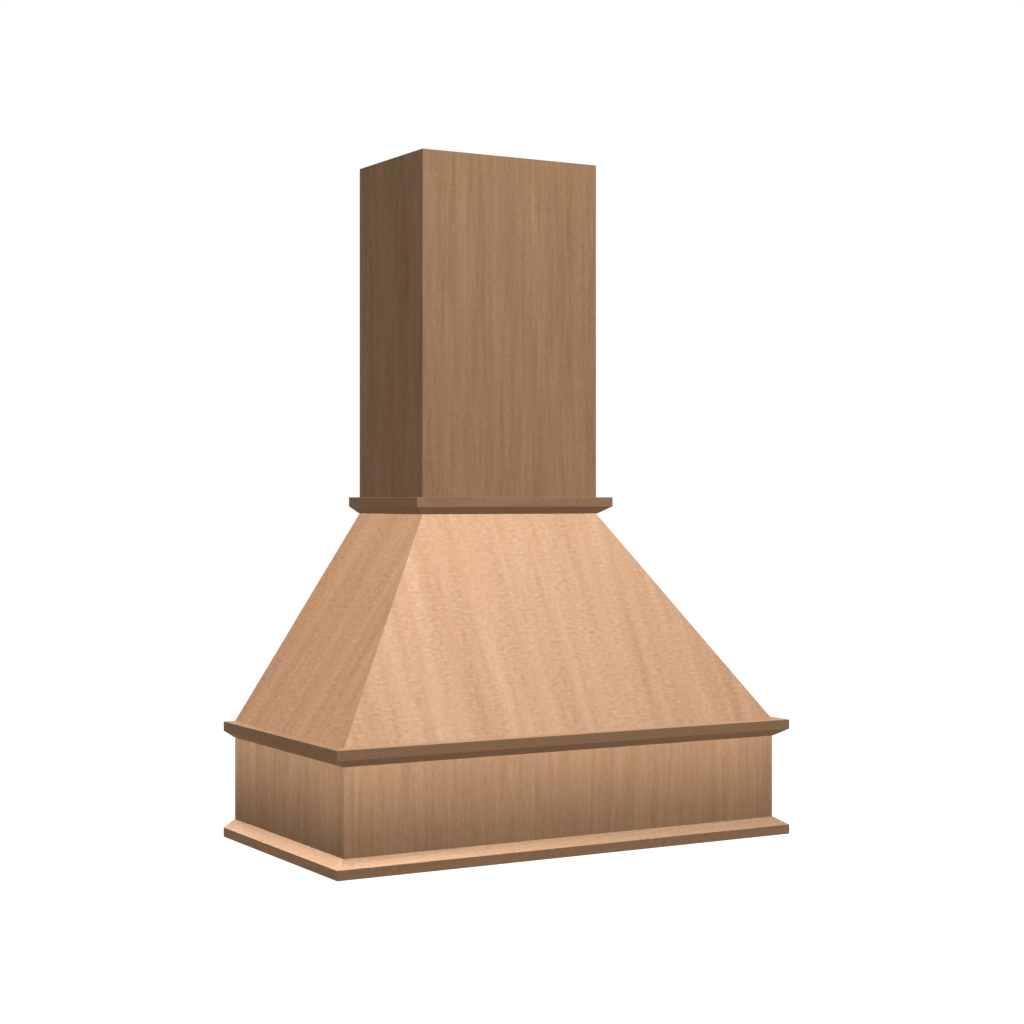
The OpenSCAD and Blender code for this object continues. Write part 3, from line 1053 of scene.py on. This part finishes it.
@dataclass
class ScrewSet:
    """Like screws that replace one node of the CAD part, each with a drive recess and a thread."""

    node: str
    head: Head
    drive: Drive
    metal: PlatedSteel
    sides: int = 24
    dome: float = 0.45  # share of a pan head's height that is rounded
    dome_steps: int = 4
    rim: float = 0.35 * MM
    core: float = 0.72  # shares of the shank's radius: its core, and the crest of its thread
    crest: float = 0.99
    sunk: float = 0.9  # share of the core's radius from which the thread stands up
    pitch: float = 2.2 * MM
    ridge: float = 0.6  # the thread's thickness at its foot as a share of the pitch
    turn_steps: int = 10
    threaded: float = 0.86  # share of the shank's length
    tip: float = 0.25  # the point's radius as a share of the core's
    weld: float = 0.01 * MM
    smooth: float = 35.0

    @staticmethod
    def draw_out(run: float, share: float, end: float) -> None:
        """Extrudes the chosen end of the blank downwards and scales its ring.

        Args:
            run: How far down it goes.
            share: The new radius over the old one.
            end: The height of the new end.
        """
        bpy.ops.mesh.extrude_region_move(TRANSFORM_OT_translate={"value": (0, 0, -run)})
        bpy.ops.transform.resize(value=(share, share, 1), center_override=(0, 0, end))

    def model_blank(self, size: ScrewSize) -> Thing:
        """Turns the head and the shank, with the top of the head at the origin and the point down.

        Args:
            size: The screw's sizes.

        Returns:
            The blank.
        """
        disc = size.head_height if self.head is Head.PAN else self.rim
        under, point = -size.head_height, -size.length
        bpy.ops.mesh.primitive_cylinder_add(
            vertices=self.sides, radius=size.head_radius, depth=disc, location=(0, 0, -disc / 2)
        )
        blank = bpy.context.object
        bpy.ops.object.transform_apply(location=True)
        radius = size.head_radius
        if self.head is Head.PAN:
            shape(blank, lambda face: face.normal.z > LEVEL, lambda: bpy.ops.mesh.bevel(
                offset=size.head_height * self.dome, segments=self.dome_steps, affect="EDGES"
            ))
        else:
            radius = size.shank_radius
            shape(blank, lambda face: face.normal.z < -LEVEL, lambda: self.draw_out(
                size.head_height - disc, radius / size.head_radius, under
            ))
        shaft = size.length - size.head_height
        shape(blank, lambda face: face.normal.z < -LEVEL, lambda: (
            self.draw_out(0.0, size.shank_radius * self.core / radius, under),
            self.draw_out(shaft * self.threaded, 1.0, under),
            self.draw_out(shaft * (1 - self.threaded), self.tip, point),
        ))
        return blank

    def cut_recess(self, blank: Thing, size: ScrewSize) -> None:
        """Sinks the drive recess into the head.

        Args:
            blank: The screw so far.
            size: The screw's sizes.
        """
        recess = RECESSES[self.drive]
        depth = size.head_height * recess.depth
        slot = (size.head_radius * recess.length, size.head_radius * recess.width, 2 * depth)
        for turn in recess.turns:
            bpy.ops.mesh.primitive_cube_add(size=1, rotation=(0, 0, turn), scale=slot)
            cutter = bpy.context.object
            bpy.ops.object.transform_apply(location=False, rotation=True, scale=True)
            shape(cutter, lambda face: face.normal.z < -LEVEL, lambda: bpy.ops.transform.resize(
                value=(recess.taper, recess.taper, 1), center_override=(0, 0, -depth)
            ))
            apply_modifier(blank, "BOOLEAN", object=cutter, operation="DIFFERENCE", solver="EXACT")
            bpy.data.objects.remove(cutter)

    def model_thread(self, size: ScrewSize) -> Thing:
        """Winds the thread round the shank.

        Args:
            size: The screw's sizes.

        Returns:
            The thread, closed at both ends.
        """
        foot = size.shank_radius * self.core * self.sunk
        tall = size.shank_radius * self.crest - foot
        bpy.ops.mesh.primitive_circle_add(vertices=3, radius=1, rotation=(math.pi / 2, math.pi / 2, 0))
        thread = bpy.context.object
        # A triangle in a circle of radius 1 has sides of the root of 3 and is 1.5 high
        thread.scale = (self.ridge * self.pitch / math.sqrt(3), tall / 1.5, 1)
        thread.location = (foot + tall / 3, 0, -size.head_height - self.ridge * self.pitch)
        bpy.ops.object.transform_apply(location=True, rotation=True, scale=True)
        turns = int((size.length - size.head_height) * self.threaded / self.pitch) - 1
        apply_modifier(
            thread, "SCREW", axis="Z", angle=2 * math.pi, screw_offset=-self.pitch, iterations=turns,
            steps=self.turn_steps, render_steps=self.turn_steps,
            use_merge_vertices=True, merge_threshold=self.weld,
        )
        shape(thread, lambda face: True, lambda: (
            bpy.ops.mesh.select_all(action="SELECT"),
            bpy.ops.mesh.fill_holes(sides=3),
            bpy.ops.mesh.normals_make_consistent(inside=False),
        ))
        return thread

    def build(self) -> str:
        """Models one screw, sets a copy in each place and dresses the set.

        Returns:
            The set's name.
        """
        found = [measure_screw(points) for points in loose_solids(NODES[self.node])]
        size = found[0][1]
        blank = self.model_blank(size)
        self.cut_recess(blank, size)
        first = join([blank, self.model_thread(size)], "screw")
        copies = []
        for place, _ in found:
            copy = bpy.data.objects.new("screw", first.data.copy())
            bpy.context.scene.collection.objects.link(copy)
            place_in_mesh(copy, place)
            copies.append(copy)
        bpy.data.objects.remove(first)
        piece = join(copies, f"{self.node}_threaded")
        set_active(piece)
        bpy.ops.object.shade_smooth_by_angle(angle=math.radians(self.smooth))
        self.metal.dress(piece, Lay(Vector(), UP, Vector((1, 0, 0))))
        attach(piece, "root")
        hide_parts(self.node)
        return piece.name


# Studio


@dataclass(frozen=True)
class Lamp:
    """A soft lamp. Its level is how bright it shows a white card that faces it at the target.

    Two tests of a name say what it lights and what shades that. A strip has a length beside its size,
    and its light spreads over an angle in degrees.
    """

    name: str
    place: tuple[float, float, float]
    target: tuple[float, float, float]
    level: float
    size: float
    lights: Optional[NameTest] = None
    blocked_by: Optional[NameTest] = None
    strip: Optional[float] = None
    spread: float = 180.0

    def build(self, everything: Iterable[Thing]) -> None:
        """Hangs the lamp and links it to what it lights.

        Args:
            everything: The objects that a lamp can light.
        """
        data = bpy.data.lights.new(self.name, "AREA")
        way = Vector(self.target) - Vector(self.place)
        data.shape = "DISK" if self.strip is None else "RECTANGLE"
        data.size = self.size if self.strip is None else self.strip
        data.size_y = self.size
        data.spread = math.radians(self.spread)
        # An area lamp of this power lights a white card at the target to the level
        data.energy = self.level * math.pi ** 2 * way.length_squared
        lamp = bpy.data.objects.new(self.name, data)
        lamp.location = self.place
        lamp.rotation_euler = way.to_track_quat("-Z", "Y").to_euler()
        lamp.visible_camera = False
        bpy.context.scene.collection.objects.link(lamp)
        for role, test in (("receiver_collection", self.lights), ("blocker_collection", self.blocked_by)):
            if test is None:
                continue
            group = bpy.data.collections.new(f"{self.name}_{role}")
            for thing in everything:
                if test(thing.name):
                    group.objects.link(thing)
            setattr(lamp.light_linking, role, group)


@dataclass
class Studio:
    """The camera, the lamps, the white surround and the floor under the hung cover."""

    lens: float = 69.96
    eye: tuple[float, float, float] = (-1.9108, -3.5717, 0.6510)
    heading: float = -29.84
    shift: tuple[float, float] = (0.0080, -0.0149)
    floor_z: float = -1.65
    floor_half: float = 30.0
    pool: tuple[float, float] = (1.0, 4.0)  # how far round the cover the floor darkens and is white again
    pool_level: float = 0.45  # share of the white that is left under the cover
    ambient: float = 0.27
    floor_bounce: float = 0.28
    lamps: tuple[Lamp, ...] = ()

    def set_camera(self) -> None:
        """Sets the camera at the photo's viewing angle."""
        data = bpy.data.cameras.new("camera")
        data.lens = self.lens
        data.shift_x, data.shift_y = self.shift
        camera = bpy.data.objects.new("camera", data)
        camera.location = self.eye
        camera.rotation_euler = (math.pi / 2, 0, math.radians(self.heading))
        bpy.context.scene.collection.objects.link(camera)
        bpy.context.scene.camera = camera

    def seen(self, tree: Tree) -> Socket:
        """Adds nodes that say whether a ray is one that shows the surround.

        Args:
            tree: The world's or a material's tree.

        Returns:
            A socket that is 1 for camera, glossy and transmission rays.
        """
        path = add_node(tree, "LightPath")
        first = add_node(tree, "Math", {
            0: path.outputs["Is Camera Ray"], 1: path.outputs["Is Glossy Ray"],
        }, operation="MAXIMUM").outputs[0]
        return add_node(
            tree, "Math", {0: first, 1: path.outputs["Is Transmission Ray"]}, operation="MAXIMUM"
        ).outputs[0]

    def surround(self) -> None:
        """Makes the world white to look at and a plain soft fill for the cover."""
        world = bpy.data.worlds.new("surround")
        world.use_nodes = True
        tree = world.node_tree
        tree.nodes.clear()
        fill = add_node(tree, "Background", {"Color": linear(WHITE), "Strength": self.ambient})
        white = add_node(tree, "Background", {"Color": linear(WHITE), "Strength": 1.0})
        both = add_node(tree, "MixShader", {0: self.seen(tree), 1: fill.outputs[0], 2: white.outputs[0]})
        add_node(tree, "OutputWorld", {0: both.outputs[0]})
        bpy.context.scene.world = world

    def floor(self) -> Thing:
        """Lays the pale floor, as far below the cover as it hangs above a real one.

        Returns:
            The floor.
        """
        bpy.ops.mesh.primitive_plane_add(size=2 * self.floor_half, location=(0, 0, self.floor_z))
        floor = bpy.context.object
        floor.name = "floor"
        material, tree = new_material("pale_studio_floor")
        spot = add_node(tree, "TexCoord").outputs["Object"]
        near, far = self.pool
        lift = add_node(tree, "MapRange", {
            "Value": add_node(tree, "VectorMath", {0: spot}, operation="LENGTH").outputs[1],
            "From Min": near, "From Max": far, "To Min": self.pool_level,
        }).outputs[0]
        card = add_node(tree, "BsdfDiffuse", {"Color": linear("#f4f4f4")})
        glow = add_node(tree, "Emission", {"Color": linear(WHITE), "Strength": lift})
        bright = add_node(tree, "AddShader", {0: card.outputs[0], 1: glow.outputs[0]})
        grey = (self.floor_bounce,) * 3 + (1.0,)
        plain = add_node(tree, "BsdfDiffuse", {"Color": grey})
        both = add_node(tree, "MixShader", {0: self.seen(tree), 1: plain.outputs[0], 2: bright.outputs[0]})
        clear = add_node(tree, "BsdfTransparent")
        behind = add_node(tree, "NewGeometry").outputs["Backfacing"]
        whole = add_node(tree, "MixShader", {0: behind, 1: both.outputs[0], 2: clear.outputs[0]})
        add_node(tree, "OutputMaterial", {0: whole.outputs[0]})
        floor.data.materials.append(material)
        return floor

    @staticmethod
    def stop_bounce() -> None:
        """Keeps the outer pieces from throwing their warm colour on each other, as the photo shows them."""
        for name, node in NODES.items():
            if name.startswith(NO_BOUNCE):
                node.visible_diffuse = False

    def build(self) -> None:
        """Sets up the whole studio."""
        bpy.context.scene.view_settings.view_transform = "Standard"
        self.set_camera()
        self.surround()
        floor = self.floor()
        self.stop_bounce()
        things = [*NODES.values(), floor, *(o for o in bpy.data.objects if o.name.endswith("_threaded"))]
        for lamp in self.lamps:
            lamp.build(things)
            log.info("lamp %s at level %.2f", lamp.name, lamp.level)


def named(*starts: str) -> NameTest:
    """Makes a test that passes the names with one of these beginnings."""
    return lambda name: name.startswith(starts)


def other_than(*starts: str) -> NameTest:
    """Makes a test that passes the names with none of these beginnings."""
    return lambda name: not name.startswith(starts)


def of_right_side(name: str) -> bool:
    """Says whether a node belongs to the cover's right side, apart from the canopy, lit from above."""
    return name.endswith(("right", "right_panel")) and not name.startswith("canopy")


# In the photo each face is lit evenly on its own: no part throws a shadow or its warm colour on another.
# So groups of faces have lamps of their own, linked to what they light and to the few pieces that shade it.
MOULDINGS = ("neck_moulding", "waist_moulding", "base_moulding")
INNER = ("chimney_glue", "chimney_splines", "chimney_bottom", "neck_cleat", "neck_rail", "neck_screws")
NO_SHADOW = ("chimney", "neck_cleat", *MOULDINGS)
NO_BOUNCE = (
    *MOULDINGS, "canopy_front", "canopy_left", "canopy_right", "apron_front", "apron_left", "apron_right",
    "neck_rail", "waist_rail", "hip_batten", "canopy_cleat", "hip_splines",
)
COVER = other_than("floor")
SHADING = other_than(*NO_SHADOW)
ABOVE, MIDDLE = (0.12, -0.66, 3.8), (0.0, -0.3, 0.45)

LAMPS = (
    Lamp("overhead", ABOVE, MIDDLE, 1.11, 1.1,
         lights=other_than("chimney", *INNER, *MOULDINGS), blocked_by=SHADING),
    Lamp("overhead_chimney", (0.30, -1.20, 6.0), (0.0, -0.3, 0.65), 0.62, 1.7,
         lights=lambda name: name.startswith(("chimney", "neck_moulding")) and not name.startswith(INNER),
         blocked_by=named("floor")),
    Lamp("overhead_waist_front", ABOVE, MIDDLE, 0.85, 1.1,
         lights=named("waist_moulding_front"), blocked_by=named("canopy", "waist_rail")),
    Lamp("overhead_waist_sides", ABOVE, MIDDLE, 0.66, 1.1,
         lights=named("waist_moulding_left", "waist_moulding_right"),
         blocked_by=named("canopy", "waist_rail")),
    Lamp("overhead_base_front", ABOVE, MIDDLE, 0.71, 1.1,
         lights=named("base_moulding_front"), blocked_by=named("base_moulding")),
    Lamp("corner_base_front", (-0.440, -0.470, 0.58), (-0.440, -0.505, 0.03), 0.92, 0.042,
         lights=named("base_moulding_front"), blocked_by=named("base_moulding", "apron")),
    *(Lamp(f"overhead_base_{side}", (x, -0.505, 1.40), (x, -0.505, 0.02), level, 0.38,
           lights=named(f"base_moulding_{side}"), blocked_by=named("base_moulding", "apron"))
      for side, x, level in (("left", -0.475, 1.54), ("right", 0.475, 1.30))),
    Lamp("front", (0.3, -5.5, 2.2), (0.0, -0.3, 0.6), 0.13, 2.5,
         lights=other_than("chimney", "canopy_front_panel", *MOULDINGS), blocked_by=SHADING),
    Lamp("front_chimney", (0.1, -2.3, 2.5), (0.0, -0.27, 0.95), 0.26, 0.8,
         lights=named("chimney"), blocked_by=named("chimney")),
    *(Lamp(f"front_{ring}", (0.3, -5.5, height), (0.0, -0.3, middle), level, 2.5,
           lights=named(f"{ring}_moulding"), blocked_by=SHADING)
      for ring, height, middle, level in (
          ("neck", 1.2, 0.6, 0.135), ("waist", 0.1, 0.3, 0.085), ("base", 2.2, 0.6, 0.10))),
    Lamp("canopy_front_wash", (-1.0, -1.1, 1.2), (-0.25, -0.38, 0.42), 0.29, 0.4,
         lights=named("canopy_front_panel"), blocked_by=named("canopy_front_panel")),
    Lamp("canopy_left_wash", (-1.0, -0.25, 0.0), (-0.42, -0.25, 0.26), 0.07, 0.3,
         lights=named("canopy_left_panel"), blocked_by=named("canopy_left_panel")),
    Lamp("apron_front_wash", (-0.16, -0.84, 0.22), (-0.16, -0.488, 0.22), 0.34, 0.05,
         lights=named("apron_front_panel"), blocked_by=named("apron_front_panel"), strip=1.35, spread=60.0),
    *(Lamp(f"apron_{side}_wash", (way * 0.81, -0.25, 0.21), (way * 0.457, -0.25, 0.21), 0.20, 0.05,
           lights=named(f"apron_{side}_panel"), blocked_by=named(f"apron_{side}_panel"),
           strip=0.8, spread=60.0)
      for side, way in (("left", -1), ("right", 1))),
    Lamp("right_side", (4.5, -1.0, 1.4), (0.3, -0.25, 0.4), 0.15, 2.0,
         lights=of_right_side, blocked_by=COVER),
    Lamp("wall_side", (0.40, 4.8, 0.8), (0.0, 0.0, 0.6), 0.62, 0.6,
         lights=COVER, blocked_by=COVER),
    Lamp("underside", (0.0, -0.2, -1.5), (0.0, -0.2, 0.02), 0.40, 0.8,
         lights=other_than("floor", "neck_moulding", "waist_moulding"), blocked_by=COVER),
)


def main() -> None:
    """Dresses the cover piece by piece, models its screws and sets up the studio."""
    logging.basicConfig(level=logging.INFO, format="%(message)s")
    bpy.ops.object.select_all(action="DESELECT")
    parts = (
        PanelBox("chimney", STRAIGHT_VENEER, STRAIGHT_SIDE_VENEER, front_leaf=37.1, side_leaf=20.2),
        PanelBox("canopy", RIPPLED_VENEER, RIPPLED_SIDE_VENEER, front_leaf=84.2, side_leaf=87.6),
        PanelBox("apron", STRAIGHT_VENEER, STRAIGHT_SIDE_VENEER, front_leaf=87.6, side_leaf=16.8),
        MouldingRing("neck", MOULDING_CHERRY),
        MouldingRing("waist", MOULDING_CHERRY),
        MouldingRing("base", BEVELLED_CHERRY),
        Frame(BIRCH_PLYWOOD, LINER_PLYWOOD, PINE),
    )
    for part in parts:
        for name in part.dress():
            log.info("dressed %s", name)
    screws = (
        ScrewSet("neck_screws", Head.PAN, Drive.CROSS, ZINC_STEEL),
        ScrewSet("canopy_screws", Head.FLAT, Drive.CROSS, ZINC_STEEL),
        ScrewSet("liner_screws", Head.FLAT, Drive.CROSS, ZINC_STEEL),
        ScrewSet("pocket_screws", Head.PAN, Drive.SQUARE, ZINC_STEEL),
    )
    for screw_set in screws:
        log.info("modelled %s", screw_set.build())
    Studio(lamps=LAMPS).build()


if __name__ == "__main__":
    main()
